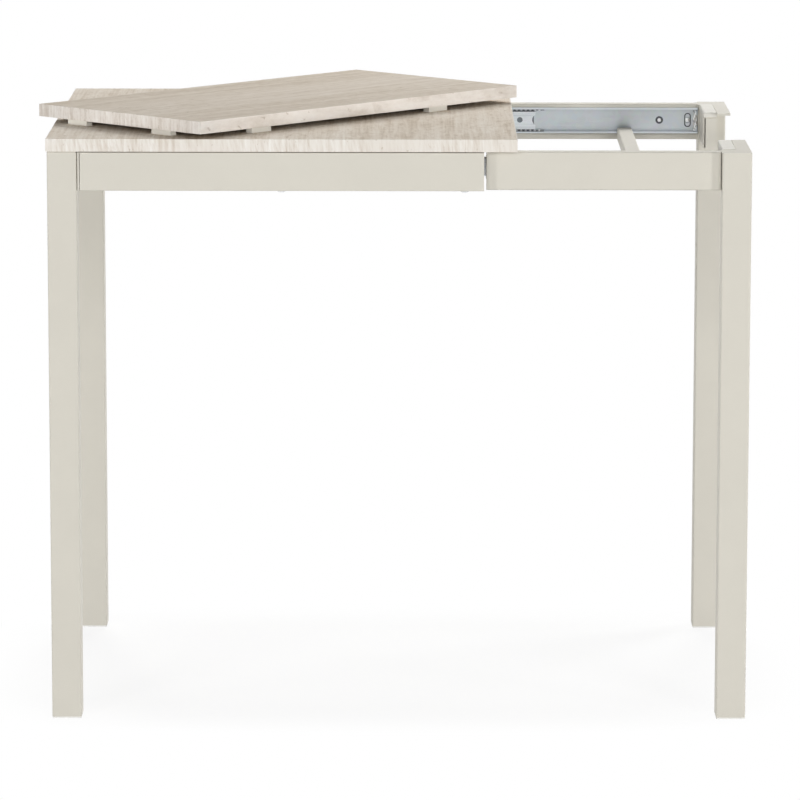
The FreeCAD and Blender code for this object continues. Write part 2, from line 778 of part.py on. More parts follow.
def place_slide(body, x):
    place(body, x, front(MOVING_INNER), SLIDE_Z)
    return body


def outer_member(name):
    """The channel on the moving apron, with a screw hole, a slot and two bent stop tabs at the leg end."""
    body = new_body(name)
    profile = new_sketch(body, "YZ_Plane")
    outline(profile, channel_points("0", "outer_depth", "slide_height/2", "lip_height"))
    folded = pad(body, profile, "slide_length", backward=True)
    outer_bends = [("0", "slide_height/2"), ("outer_depth", "slide_height/2")]
    inner_v = "slide_height/2 - slide_steel"
    inner_bends = [("slide_steel", inner_v), ("outer_depth - slide_steel", inner_v)]
    rolled = round_bends(body, folded, outer_bends, "bend_radius")
    round_bends(body, rolled, inner_bends, "bend_radius - slide_steel")
    tabs = new_sketch(body, "YZ_Plane")
    for side in (-1, 1):
        low = "slide_height/2 - slide_steel/2 - stop_tab_height"
        tab_v = low if side > 0 else f"-({low}) - stop_tab_height"
        rectangle(tabs, "slide_steel/2", tab_v, "stop_tab", "stop_tab_height")
    pad(body, tabs, "slide_steel", backward=True)
    holes = new_sketch(body, "XZ_Plane")
    circle(holes, f"{MOVING_SLIDE_SCREW_X} - {SLIDE_END}", "0", "slide_hole_radius")
    slot_u = f"{MOVING_SLIDE_SLOT_X} - {SLIDE_END}"
    straight = "(slide_slot_length - slide_slot_width)"
    rectangle(holes, f"{slot_u} - slide_slot_width/2", f"-{straight}/2", "slide_slot_width", straight)
    pocket(body, holes, "2*slide_steel")
    slot_ends = new_sketch(body, "XZ_Plane")
    for side in (-1, 1):
        circle(slot_ends, slot_u, f"{side}*{straight}/2", "slide_slot_width/2")
    pocket(body, slot_ends, "2*slide_steel")
    return place_slide(body, SLIDE_END)


def middle_member(name):
    """The floating channel, with a round notch in its leading end, one hole and a rib in its web."""
    body = new_body(name)
    profile = new_sketch(body, "YZ_Plane")
    outline(profile, ribbed_points())
    folded = pad(body, profile, "middle_length")
    rolled = round_bends(body, folded, [("middle_web", "middle_height/2")], "bend_radius")
    inner_bend = ("middle_web + slide_steel", "middle_height/2 - slide_steel")
    round_bends(body, rolled, [inner_bend], "bend_radius - slide_steel")
    cuts = new_sketch(body, "XZ_Plane")
    circle(cuts, "middle_length + notch_radius - notch_depth", "0", "notch_radius")
    circle(cuts, "middle_length - web_hole_from_end", "0", "web_hole")
    pocket(body, cuts, "middle_web + 2*slide_steel")
    return place_slide(body, MIDDLE_START)


def inner_member(name):
    """The smallest channel, back to back with the others, on the fixed inner rail."""
    body = new_body(name)
    profile = new_sketch(body, "YZ_Plane")
    outline(profile, channel_points("slide_depth - inner_flange", "slide_depth", "inner_height/2", "0",
                                    opens_inward=False))
    folded = pad(body, profile, "middle_length")
    rolled = round_bends(body, folded, [("slide_depth", "inner_height/2")], "bend_radius")
    inner_bend = ("slide_depth - slide_steel", "inner_height/2 - slide_steel")
    round_bends(body, rolled, [inner_bend], "bend_radius - slide_steel")
    holes = new_sketch(body, "XZ_Plane")
    for screw_x in FIXED_SLIDE_SCREWS_X:
        circle(holes, f"{screw_x} - {INNER_START}", "0", "slide_hole_radius")
    pocket(body, holes, "2*slide_depth")
    return place_slide(body, INNER_START)


def ball_xs(count, pitch):
    """Places of the balls along a cage, evenly spaced about its middle."""
    middle = (count - 1) / 2
    return [f"cage_length/2 + {index - middle}*{pitch}" for index in range(count)]


def cage(name, web_u, track, start):
    """A thin channel with open ball pockets in its flanges and its web cut back at the leading end."""
    ball_u, ball_v, ball, spots = track
    body = new_body(name)
    profile = new_sketch(body, "YZ_Plane")
    high_u = f"{ball_u} + {ball} + cage_strip"
    high_v = f"{ball_v} + cage_strip/2"
    low_v = f"{ball_v} - cage_strip/2"
    inside = f"{web_u} + cage_sheet"
    upper = [(inside, low_v), (high_u, low_v), (high_u, high_v), (web_u, high_v)]
    outline(profile, upper + flipped(upper))
    pad(body, profile, "cage_length")
    pockets = new_sketch(body, "XY_Plane")
    for ball_x in spots:
        circle(pockets, ball_x, ball_u, f"{ball} + ball_play/2")
    cut = pocket(body, pockets, "slide_height")
    cut.SideType = "Symmetric"
    mouths = new_sketch(body, "XY_Plane")
    for ball_x in spots:
        reach = f"{ball} + ball_play/2"
        rectangle(mouths, f"{ball_x} - ({reach})", ball_u, f"2*({reach})", f"{ball} + 2*cage_strip")
    cut = pocket(body, mouths, "slide_height")
    cut.SideType = "Symmetric"
    notch = new_sketch(body, "XZ_Plane")
    rectangle(notch, "cage_length - cage_notch", f"-({low_v})", "2*cage_notch", f"2*({low_v})")
    pocket(body, notch, f"{web_u} + 2*cage_sheet")
    return place_slide(body, start)


def balls(name, track, start):
    """The balls of one cage, front and back."""
    ball_u, ball_v, ball, spots = track
    pieces = []
    for index, ball_x in enumerate(spots):
        for side in (-1, 1):
            sphere = doc.addObject("Part::Sphere", f"{name}_{index}_{'low' if side < 0 else 'high'}")
            sphere.setExpression("Radius", cell(ball))
            middle = front(f"{MOVING_INNER} + {ball_u}")
            place(sphere, f"{start} + {ball_x}", middle, f"{SLIDE_Z} + {side}*{ball_v}")
            pieces.append(sphere)
            pieces.append(mirrored(sphere))
    return group(name, pieces)


def slide_screw(name, screw_x, seat, inward):
    """A pan-head screw across the slide; inward is the way its head faces, from the seat."""
    head = disc(name + "_head", "slide_screw_head", "slide_screw_head_height", (0, inward, 0))
    shank = disc(name + "_shank", "slide_screw_radius", "slide_screw_length", (0, -inward, 0))
    screw = fused(name, [head, shank])
    place(screw, screw_x, front(seat), SLIDE_Z)
    return screw


pair("slide_outer_members", outer_member("slide_outer"))
pair("slide_middle_members", middle_member("slide_middle"))
pair("slide_inner_members", inner_member("slide_inner"))

OUTER_CAGE_START = "(middle_reach + cage_lead - cage_length)"
INNER_CAGE_START = f"({MIDDLE_START} + cage_setback)"
OUTER_SPOTS = ball_xs(OUTER_BALLS_PER_TRACK, "outer_ball_pitch")
INNER_SPOTS = ball_xs(INNER_BALLS_PER_TRACK, "inner_ball_pitch")
OUTER_TRACK = (OUTER_BALL_U, OUTER_BALL_V, "outer_ball", OUTER_SPOTS)
INNER_TRACK = (INNER_BALL_U, INNER_BALL_V, "inner_ball", INNER_SPOTS)
OUTER_CAGE_WEB = "slide_steel + cage_play"
INNER_CAGE_WEB = "middle_web + slide_steel + ball_play"
pair("outer_ball_cages", cage("outer_cage", OUTER_CAGE_WEB, OUTER_TRACK, OUTER_CAGE_START))
pair("inner_ball_cages", cage("inner_cage", INNER_CAGE_WEB, INNER_TRACK, INNER_CAGE_START))
balls("outer_balls", OUTER_TRACK, OUTER_CAGE_START)
balls("inner_balls", INNER_TRACK, INNER_CAGE_START)

moving_seat = f"{MOVING_INNER} + slide_steel"
moving_screws = [slide_screw(f"moving_slide_screw_{index}", screw_x, moving_seat, 1)
                 for index, screw_x in enumerate((MOVING_SLIDE_SCREW_X, MOVING_SLIDE_SLOT_X))]
group("moving_slide_screws", moving_screws + [mirrored(screw) for screw in moving_screws])
fixed_seat = f"{RAIL_OUTER} - slide_steel"
fixed_screws = [slide_screw(f"fixed_slide_screw_{index}", screw_x, fixed_seat, -1)
                for index, screw_x in enumerate(FIXED_SLIDE_SCREWS_X)]
group("fixed_slide_screws", fixed_screws + [mirrored(screw) for screw in fixed_screws])

# Checks and files
doc.recompute()
failed = [item.Name for item in doc.Objects if {"Invalid", "Error"} & set(item.State)]
bad_shapes = [piece.Label for piece in nodes if piece.Shape.isNull() or not piece.Shape.isValid()]
if failed or bad_shapes:
    raise RuntimeError(f"failed objects {failed}, bad shapes {bad_shapes}")
os.makedirs("parts", exist_ok=True)
for piece in nodes:
    piece.Shape.exportStep(f"parts/{piece.Label}.step")
    print(piece.Label, len(piece.Shape.Solids), round(piece.Shape.Volume, 1))
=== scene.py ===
import json
import math

import bmesh
import bpy
from mathutils import Matrix, Vector


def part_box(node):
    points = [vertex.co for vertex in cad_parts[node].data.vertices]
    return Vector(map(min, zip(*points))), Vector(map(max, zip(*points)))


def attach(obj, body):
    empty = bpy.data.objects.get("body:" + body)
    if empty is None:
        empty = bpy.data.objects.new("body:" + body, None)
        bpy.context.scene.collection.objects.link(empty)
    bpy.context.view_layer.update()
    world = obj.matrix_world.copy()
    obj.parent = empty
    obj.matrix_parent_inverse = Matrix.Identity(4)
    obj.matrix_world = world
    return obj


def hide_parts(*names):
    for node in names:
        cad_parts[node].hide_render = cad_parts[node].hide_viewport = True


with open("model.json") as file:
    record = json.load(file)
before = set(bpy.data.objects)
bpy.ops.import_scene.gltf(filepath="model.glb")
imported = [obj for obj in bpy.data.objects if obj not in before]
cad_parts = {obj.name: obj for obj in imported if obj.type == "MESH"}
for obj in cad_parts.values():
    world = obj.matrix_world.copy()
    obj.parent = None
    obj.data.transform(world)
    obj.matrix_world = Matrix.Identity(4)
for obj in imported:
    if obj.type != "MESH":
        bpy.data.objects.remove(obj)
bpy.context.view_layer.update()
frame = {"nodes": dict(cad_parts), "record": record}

NODES = frame["nodes"]

# Camera, at the photograph's angle; lengths in metres, angles in degrees
CAMERA_PLACE = (0.0239, -6.73535, 1.51054)
CAMERA_YAW = 0.1008
CAMERA_PITCH = 9.6515
CAMERA_ROLL = 0.0734
IMAGE_WIDTH = 800
FOCAL_PIXELS = 5085.542
SENSOR_WIDTH = 36.0

# Directions of the veins in the boards, in degrees from +X
MAIN_VEINS = 90.0
LEAF_VEINS = 46.9


# Colours
def srgb(red, green, blue):
    """A colour written in display values from 0 to 255, as linear light by the sRGB formula."""
    def linear(value):
        share = value / 255
        return share / 12.92 if share <= 0.04045 else ((share + 0.055) / 1.055) ** 2.4
    return (linear(red), linear(green), linear(blue), 1.0)


def scaled(colour, factor):
    """A colour made lighter or darker."""
    return tuple(factor * channel for channel in colour[:3]) + (1.0,)


def grey(level):
    """A grey in linear light, also used for a plain value that a ramp carries."""
    return (level, level, level, 1.0)


BLACK = grey(0.0)
WHITE = grey(1.0)

# The colour sockets of a Mix node
MIX_FIRST = 6
MIX_SECOND = 7
MIX_RESULT = 2


# Shader building
class Shader:
    """The node tree of a material or a world under construction, with short calls for its nodes."""

    def __init__(self, owner):
        owner.use_nodes = True
        self.owner = owner
        self.tree = owner.node_tree
        self.surface = self.tree.nodes.get("Principled BSDF")

    def put(self, made, socket, value):
        """Sets an input socket by name or number, or links it from another node's output."""
        if isinstance(value, bpy.types.NodeSocket):
            self.tree.links.new(value, made.inputs[socket])
        else:
            made.inputs[socket].default_value = value

    def fill(self, made, **inputs):
        """Sets or links a node's inputs by name, with an underscore for each space."""
        for key, value in inputs.items():
            self.put(made, key.replace("_", " "), value)

    def node(self, kind, settings=None, **inputs):
        """A new node with its settings and inputs."""
        made = self.tree.nodes.new(kind)
        for key, value in (settings or {}).items():
            setattr(made, key, value)
        self.fill(made, **inputs)
        return made

    def calc(self, operation, first, second=0.0):
        """The result of one operation on two values."""
        made = self.node("ShaderNodeMath", {"operation": operation})
        self.put(made, 0, first)
        self.put(made, 1, second)
        return made.outputs[0]

    def mix(self, share, first, second, blend="MIX"):
        """The first colour with a share of the second blended in."""
        made = self.node("ShaderNodeMix", {"data_type": "RGBA", "blend_type": blend})
        self.put(made, 0, share)
        self.put(made, MIX_FIRST, first)
        self.put(made, MIX_SECOND, second)
        return made.outputs[MIX_RESULT]

    def ramp(self, value, stops):
        """A colour that runs through stops, given as pairs of place and colour, as the value rises."""
        made = self.node("ShaderNodeValToRGB")
        self.put(made, 0, value)
        elements = made.color_ramp.elements
        while len(elements) < len(stops):
            elements.new(0.5)
        for element, (place, colour) in zip(elements, stops):
            element.position = place
            element.color = colour
        return made.outputs[0]

    def fade(self, value, span, first, last):
        """A change from one colour to another over a span of the value."""
        return self.ramp(value, list(zip(span, (first, last))))

    def place(self, turn=0.0, stretch=(1, 1, 1), lean=0.0):
        """Rest coordinates, turned about Z by -turn degrees, leant about the veins and then stretched."""
        source = self.node("ShaderNodeTexCoord").outputs["Object"]
        turned = self.node("ShaderNodeMapping", Vector=source, Rotation=(0, 0, math.radians(-turn)))
        leant = self.node("ShaderNodeMapping", Vector=turned.outputs[0],
                          Rotation=(math.radians(lean), 0, 0))
        stretched = self.node("ShaderNodeMapping", Vector=leant.outputs[0], Scale=stretch)
        return stretched.outputs[0]

    def noise(self, vector, scale=1.0, detail=3.0, roughness=0.5, distortion=0.0):
        """A cloudy value that varies about a half."""
        made = self.node("ShaderNodeTexNoise", Vector=vector, Scale=scale, Detail=detail,
                         Roughness=roughness, Distortion=distortion)
        return made.outputs["Fac"]

    def bump(self, height, strength, distance=0.0001):
        """Fine relief on the surface, with its depth in metres."""
        made = self.node("ShaderNodeBump", Height=height, Strength=strength, Distance=distance)
        self.put(self.surface, "Normal", made.outputs[0])


# The middle of a noise value, and spans of it over which a look changes from one end to the other
NOISE_MIDDLE = 0.5
WIDE_SPAN = (0.3, 0.7)
MIDDLE_SPAN = (0.35, 0.65)

# Layers of the travertine-look print, stretched along the veins, across them and through the board
PRINT_LAYERS = {
    "bands": {"stretch": (0.7, 12, 0.7), "detail": 3.0, "roughness": 0.5, "distortion": 0.4},
    "streaks": {"stretch": (2.4, 70, 5), "detail": 5.0, "roughness": 0.62, "distortion": 0.6},
    "hairs": {"stretch": (6, 230, 12), "detail": 4.0, "roughness": 0.62, "distortion": 0.3},
    "slants": {"stretch": (7, 210, 22), "lean": 16.0, "detail": 3.0, "roughness": 0.6, "distortion": 0.5},
    "clouds": {"stretch": (11, 30, 30), "detail": 6.0, "roughness": 0.66, "distortion": 0.3},
    "grain": {"stretch": (60, 150, 120), "detail": 3.0, "roughness": 0.65},
    "patches": {"stretch": (2.5, 6, 9), "detail": 2.0, "roughness": 0.5, "distortion": 0.2},
    "veins": {"stretch": (1.6, 26, 3), "detail": 5.0, "roughness": 0.6, "distortion": 1.1},
    "pits": {"stretch": (90, 260, 160), "detail": 2.0, "roughness": 0.5, "distortion": 0.6},
}
# Where the print fades in patches, where thin vein lines run, where pits lie, and how strongly each shows
PATCH_SPAN = (0.38, 0.62)
VEIN_HALF_WIDTH = 0.016
VEINED_CLOUDS = (0.45, 0.62)
VEIN_SHARE = 0.4
PIT_SPAN = (0.67, 0.76)
PIT_SHARE = 0.6
HAIR_RELIEF = 0.5

# Shares of the layers in each print
MAIN_PRINT = {"bands": 0.15, "streaks": 0.24, "hairs": 0.22, "clouds": 0.20, "grain": 0.19}
LEAF_PRINT = {"bands": 0.16, "streaks": 0.28, "hairs": 0.22, "clouds": 0.10, "grain": 0.24}
EDGE_PRINT = {"bands": 0.10, "streaks": 0.26, "hairs": 0.28, "slants": 0.24, "clouds": 0.12}
LEAF_EDGE_PRINT = {
    "bands": 0.14, "streaks": 0.24, "hairs": 0.26, "slants": 0.12, "clouds": 0.10, "grain": 0.14,
}


# Materials
def print_layer(shader, veins, stretch, lean=0.0, **noise):
    """One layer of the print, drawn along the veins."""
    return shader.noise(shader.place(veins, stretch, lean), **noise)


def stone_laminate(name, veins, tones, shares, patchy, width):
    """Travertine-look print: bands, streaks and hairs along the veins, clouds, thin vein lines and pits.

    The shares weigh the layers, patchy is how far the print fades in patches, and width is how far the
    layers' sum runs from the middle tone to the dark or the light one.
    """
    dark, middle, light = tones
    shader = Shader(bpy.data.materials.new(name))
    used = (*shares, "patches", "veins", "pits")
    layers = {key: print_layer(shader, veins, **PRINT_LAYERS[key]) for key in used}
    total = -NOISE_MIDDLE
    for key, share in shares.items():
        total = shader.calc("ADD", shader.calc("MULTIPLY", layers[key], share), total)
    strength = shader.fade(layers["patches"], PATCH_SPAN, grey(1 - patchy), WHITE)
    total = shader.calc("ADD", shader.calc("MULTIPLY", total, strength), NOISE_MIDDLE)
    stops = [(NOISE_MIDDLE - width, dark), (NOISE_MIDDLE, middle), (NOISE_MIDDLE + width, light)]
    colour = shader.ramp(total, stops)
    from_line = shader.calc("ABSOLUTE", shader.calc("SUBTRACT", layers["veins"], NOISE_MIDDLE))
    line = shader.fade(from_line, (0.0, VEIN_HALF_WIDTH), WHITE, BLACK)
    veined = shader.fade(layers["clouds"], VEINED_CLOUDS, BLACK, WHITE)
    vein_share = shader.calc("MULTIPLY", shader.calc("MULTIPLY", line, veined), VEIN_SHARE)
    colour = shader.mix(vein_share, colour, dark)
    pit = shader.fade(layers["pits"], PIT_SPAN, BLACK, WHITE)
    colour = shader.mix(shader.calc("MULTIPLY", pit, PIT_SHARE), colour, dark, "MULTIPLY")
    roughness = shader.fade(layers["streaks"], WIDE_SPAN, grey(0.58), grey(0.7))
    shader.fill(shader.surface, Base_Color=colour, Roughness=roughness, Specular_IOR_Level=0.15)
    relief = shader.calc("SUBTRACT", shader.calc("MULTIPLY", layers["hairs"], HAIR_RELIEF), pit)
    shader.bump(relief, strength=0.25, distance=0.0002)
    return shader.owner


def powder_coat(name, colour):
    """Satin paint with the fine orange peel and slight mottle of a powder coat."""
    shader = Shader(bpy.data.materials.new(name))
    mottle = shader.noise(shader.place(), scale=14.0, detail=4.0, roughness=0.6)
    peel = shader.noise(shader.place(), scale=1400.0, detail=2.0)
    mottled = shader.fade(mottle, MIDDLE_SPAN, scaled(colour, 0.985), scaled(colour, 1.01))
    satin = shader.fade(peel, WIDE_SPAN, grey(0.46), grey(0.56))
    shader.fill(shader.surface, Base_Color=mottled, Roughness=satin, Specular_IOR_Level=0.4)
    shader.bump(peel, strength=0.12)
    return shader.owner


def galvanised(name, colour, roughness):
    """Cold-rolled zinc-coated steel: rolling lines along the slide and a faint spangle."""
    shader = Shader(bpy.data.materials.new(name))
    rolling = shader.noise(shader.place(stretch=(6, 900, 900)), roughness=0.6)
    spangle = shader.node("ShaderNodeTexVoronoi", Vector=shader.place(), Scale=160.0).outputs["Color"]
    cloud = shader.noise(shader.place(stretch=(9, 30, 30)))
    clouded = shader.fade(cloud, WIDE_SPAN, scaled(colour, 0.86), colour)
    spangled = shader.mix(0.06, clouded, spangle, "SOFT_LIGHT")
    rolled = shader.fade(rolling, WIDE_SPAN, grey(roughness - 0.07), grey(roughness + 0.08))
    shader.fill(shader.surface, Base_Color=spangled, Metallic=1.0, Roughness=rolled)
    shader.bump(rolling, strength=0.08)
    return shader.owner


def moulded_plastic(name, colour, roughness):
    """Fine-textured moulded plastic."""
    shader = Shader(bpy.data.materials.new(name))
    grain = shader.noise(shader.place(), scale=900.0, detail=2.0)
    cloud = shader.noise(shader.place(), scale=40.0)
    clouded = shader.fade(cloud, MIDDLE_SPAN, scaled(colour, 0.95), colour)
    textured = shader.fade(grain, WIDE_SPAN, grey(roughness - 0.05), grey(roughness + 0.05))
    shader.fill(shader.surface, Base_Color=clouded, Roughness=textured)
    shader.bump(grain, strength=0.1)
    return shader.owner


BY_SLOT = {
    "powder_coat": powder_coat("powder_coat_greige", srgb(215, 211, 200)),
    "galvanised": galvanised("galvanised_steel", srgb(203, 209, 213), roughness=0.34),
    "zinc": galvanised("zinc_plate", srgb(240, 241, 242), roughness=0.22),
    # The balls' steel is near white: a painted highlight, so that each ball shows as a bright dot
    "ball_steel": galvanised("ball_steel", srgb(250, 250, 252), roughness=0.30),
    "nylon": moulded_plastic("cream_nylon", srgb(229, 226, 217), roughness=0.5),
    "foot_plastic": moulded_plastic("foot_plastic", srgb(243, 242, 238), roughness=0.55),
    "cap_plastic": moulded_plastic("cap_plastic", srgb(219, 215, 204), roughness=0.5),
}
# The middle members get a lighter copy of the slides' steel: painted light, against the shade on the outer
# channels' web beside them
ZINC_PAINTED_LIGHT = galvanised("zinc_painted_light", srgb(226, 230, 233), roughness=0.30)
# The ball cages are darker than the slides' steel: painted shade, for the dark gaps between the balls
CAGE_STEEL_PAINTED_SHADE = galvanised("cage_steel_painted_shade", srgb(128, 132, 136), roughness=0.38)
# A darker copy of the slides' steel, for painted shade: the dark rims of screw heads and the washers and
# slot lips round them
SHADE_PAINTED_STEEL = galvanised("steel_painted_shade", srgb(104, 107, 110), roughness=0.34)
# The coined tabs keep the smoothness of pressed steel but are much lighter than the channel they are
# pressed from: a painted glint on their facets
COINED_STEEL_PAINTED_GLINT = galvanised("coined_steel_painted_glint", srgb(252, 252, 252), roughness=0.16)

# Dark, middle and light tones of the prints
TOP_TONES = (srgb(195, 180, 161), srgb(220, 209, 194), srgb(233, 225, 213))
EDGE_TONES = (srgb(206, 194, 179), srgb(230, 224, 215), srgb(242, 239, 233))
LEAF_TONES = (srgb(189, 175, 156), srgb(211, 200, 185), srgb(224, 215, 203))
LEAF_EDGE_TONES = (srgb(195, 184, 171), srgb(227, 220, 212), srgb(240, 236, 230))
BY_NODE = {
    "main_top": stone_laminate("laminate_main", MAIN_VEINS, TOP_TONES, MAIN_PRINT,
                               patchy=0.2, width=0.08),
    "main_top_edging": stone_laminate("edge_band_main", MAIN_VEINS, EDGE_TONES, EDGE_PRINT,
                                      patchy=0.75, width=0.10),
    "leaf_board": stone_laminate("laminate_leaf", LEAF_VEINS, LEAF_TONES, LEAF_PRINT,
                                 patchy=0.3, width=0.09),
    "leaf_edging": stone_laminate("edge_band_leaf", LEAF_VEINS, LEAF_EDGE_TONES, LEAF_EDGE_PRINT,
                                  patchy=0.3, width=0.08),
    "slide_middle_members": ZINC_PAINTED_LIGHT,
    "outer_ball_cages": CAGE_STEEL_PAINTED_SHADE,
    "inner_ball_cages": CAGE_STEEL_PAINTED_SHADE,
}

# Edges that a hand would feel as slightly rounded, in metres, and the sharpest turn left alone, in degrees
ROUNDED = {
    "main_top_edging": 0.0005, "leaf_edging": 0.0005, "leaf_blocks": 0.0016, "corner_plates": 0.0006,
    "corner_stub_caps": 0.0008, "left_feet": 0.0007, "right_feet": 0.0007, "cross_bar_tongues": 0.0004,
    "fixed_end_plates": 0.0003, "moving_end_plates": 0.0003,
}
ROUNDED_FROM = 40
ROUNDED_SEGMENTS = 3


def dress_nodes():
    """Gives each carried-over solid its material, and rounds the edges that show."""
    slots = {row["node"]: row["material_slot"] for row in frame["record"]["subparts"]}
    for name, piece in NODES.items():
        piece.data.materials.clear()
        piece.data.materials.append(BY_NODE.get(name) or BY_SLOT[slots[name]])
        if name in ROUNDED:
            bevel = piece.modifiers.new("rounded", "BEVEL")
            bevel.width = ROUNDED[name]
            bevel.segments = ROUNDED_SEGMENTS
            bevel.limit_method = "ANGLE"
            bevel.angle_limit = math.radians(ROUNDED_FROM)


dress_nodes()

# Decimals of a metre to which two points are the same, and points round a ring
POINT_DECIMALS = 6
TURNS = 40


# Solids of a node, and rings for new shapes
def loose_boxes(piece):
    """The box of each separate solid in a node, as a pair of corners."""
    points = [vertex.co.copy() for vertex in piece.data.vertices]
    keys = [tuple(round(value, POINT_DECIMALS) for value in point) for point in points]
    parent = {key: key for key in keys}

    def root(key):
        while parent[key] != key:
            parent[key] = parent[parent[key]]
            key = parent[key]
        return key

    for polygon in piece.data.polygons:
        first = root(keys[polygon.vertices[0]])
        for index in polygon.vertices[1:]:
            parent[root(keys[index])] = first
    found = {}
    for key in keys:
        low, high = found.setdefault(root(key), ([math.inf] * 3, [-math.inf] * 3))
        for axis in range(3):
            low[axis] = min(low[axis], key[axis])
            high[axis] = max(high[axis], key[axis])
    return [(Vector(low), Vector(high)) for low, high in sorted(found.values())]


def ring_faces(ring_count, size):
    """Quads between rings of equal size, with the first and last rings closed by a face each."""
    faces = [tuple(reversed(range(size)))]
    for ring in range(ring_count - 1):
        for index in range(size):
            after = (index + 1) % size
            low, high = ring * size, (ring + 1) * size
            faces.append((low + index, low + after, high + after, high + index))
    faces.append(tuple((ring_count - 1) * size + index for index in range(size)))
    return faces


def round_ring(radius, height):
    """Points round a circle about Z."""
    angles = [2 * math.pi * index / TURNS for index in range(TURNS)]
    return [(radius * math.cos(angle), radius * math.sin(angle), height) for angle in angles]


def six_sided_ring(across, height, limit):
    """Points round a hexagon about Z, its corners cut to a limit radius."""
    points = []
    for index in range(TURNS):
        angle = 2 * math.pi * index / TURNS
        flat = (angle + math.pi / 6) % (math.pi / 3) - math.pi / 6
        radius = min(across / 2 / math.cos(flat), limit)
        points.append((radius * math.cos(angle), radius * math.sin(angle), height))
    return points


# Threads: radii in shares of the shank's, the tip's length in pitches, and the pitches in metres
TIP_END = 0.3
TIP_SHOULDER = 0.8
THREAD_ROOT = 0.84
THREAD_NECK = 0.9
TIP_LENGTH = 0.6
SCREW_PITCH = 0.0012
BOLT_PITCH = 0.00125

# Pan heads, in shares of the head's rise and radius, with the curve and the steps of the dome
DOME_START = 0.78
DOME_POWER = 2.4
DOME_STEPS = 12
CROSS_REACH = 0.52
CROSS_WIDTH = 0.13
CROSS_DEPTH = 0.55

# Bolt heads: radii in shares of the corner radius, with heights in shares of the washer or of the rise and
# depths of the dished top in metres
BOLT_WASHER_THICKNESS = 0.0012
BOLT_WASHER = ((1.18, 0.0), (1.2, 0.2), (1.2, 0.8), (1.16, 1.0))
BOLT_FLATS = 1.732
BOLT_SIDES_END = 0.16
BOLT_CHAMFER = (0.93, 0.04)
BOLT_DISH = ((0.84, 0.0), (0.74, 0.0), (0.7, 0.0003), (0.2, 0.0003))


# Fasteners, each with its head's top at zero and its tip below
def threaded_shank(radius, length, start, pitch):
    """Rings of a thread from the tip, at -length, up to start."""
    shoulder = -length + TIP_LENGTH * pitch
    rings = [round_ring(TIP_END * radius, -length), round_ring(TIP_SHOULDER * radius, shoulder)]
    height = -length + pitch
    while height < start - pitch:
        rings.append(round_ring(THREAD_ROOT * radius, height))
        rings.append(round_ring(radius, height + pitch / 2))
        height += pitch
    rings.append(round_ring(THREAD_NECK * radius, start))
    return rings


def cross_recess(rings, reach, width, depth):
    """Sinks the points of the given rings that lie in a cross."""
    sunk = []
    for ring in rings:
        sunk.append([])
        for x, y, z in ring:
            inside = min(abs(x), abs(y)) < width and max(abs(x), abs(y)) < reach
            sunk[-1].append((x, y, z - depth) if inside else (x, y, z))
    return sunk


def pan_screw(length, shank, head, rise):
    """Rings of a pan-head screw with a cross recess."""
    rings = threaded_shank(shank, length, -rise, SCREW_PITCH)
    rings.append(round_ring(head, -rise))
    rings.append(round_ring(head, -DOME_START * rise))
    dome = []
    for step in range(1, DOME_STEPS):
        share = 1 - step / DOME_STEPS
        dome.append(round_ring(head * share, -DOME_START * rise * share ** DOME_POWER))
    return rings + cross_recess(dome, CROSS_REACH * head, CROSS_WIDTH * head, CROSS_DEPTH * rise)


def hex_bolt(length, shank, head, rise):
    """Rings of a hexagon bolt on a washer."""
    rings = threaded_shank(shank, length, -rise, BOLT_PITCH)
    for share, part in BOLT_WASHER:
        rings.append(round_ring(share * head, -rise + part * BOLT_WASHER_THICKNESS))
    across = BOLT_FLATS * head
    chamfer_share, chamfer_end = BOLT_CHAMFER
    rings.append(six_sided_ring(across, -rise + BOLT_WASHER_THICKNESS, head))
    rings.append(six_sided_ring(across, -BOLT_SIDES_END * rise, head))
    rings.append(six_sided_ring(across, -chamfer_end * rise, chamfer_share * head))
    return rings + [round_ring(share * head, -depth) for share, depth in BOLT_DISH]


# New pieces, built over the plain ones of the frame
def add_piece(name, points, faces, material, body):
    """A new piece that rides on a body, in the material it is given."""
    mesh = bpy.data.meshes.new(name)
    mesh.from_pydata(points, [], faces)
    shape = bmesh.new()
    shape.from_mesh(mesh)
    bmesh.ops.recalc_face_normals(shape, faces=shape.faces)
    shape.to_mesh(mesh)
    shape.free()
    mesh.materials.append(material)
    piece = bpy.data.objects.new(name, mesh)
    bpy.context.scene.collection.objects.link(piece)
    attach(piece, body)
    return piece


def second_material(piece, material, faces):
    """Gives some of a piece's faces another material."""
    piece.data.materials.append(material)
    for index in faces:
        piece.data.polygons[index].material_index = 1


def all_bright(middle):
    """The bright reach of a fastener whose head gets no painted shade."""
    return math.inf


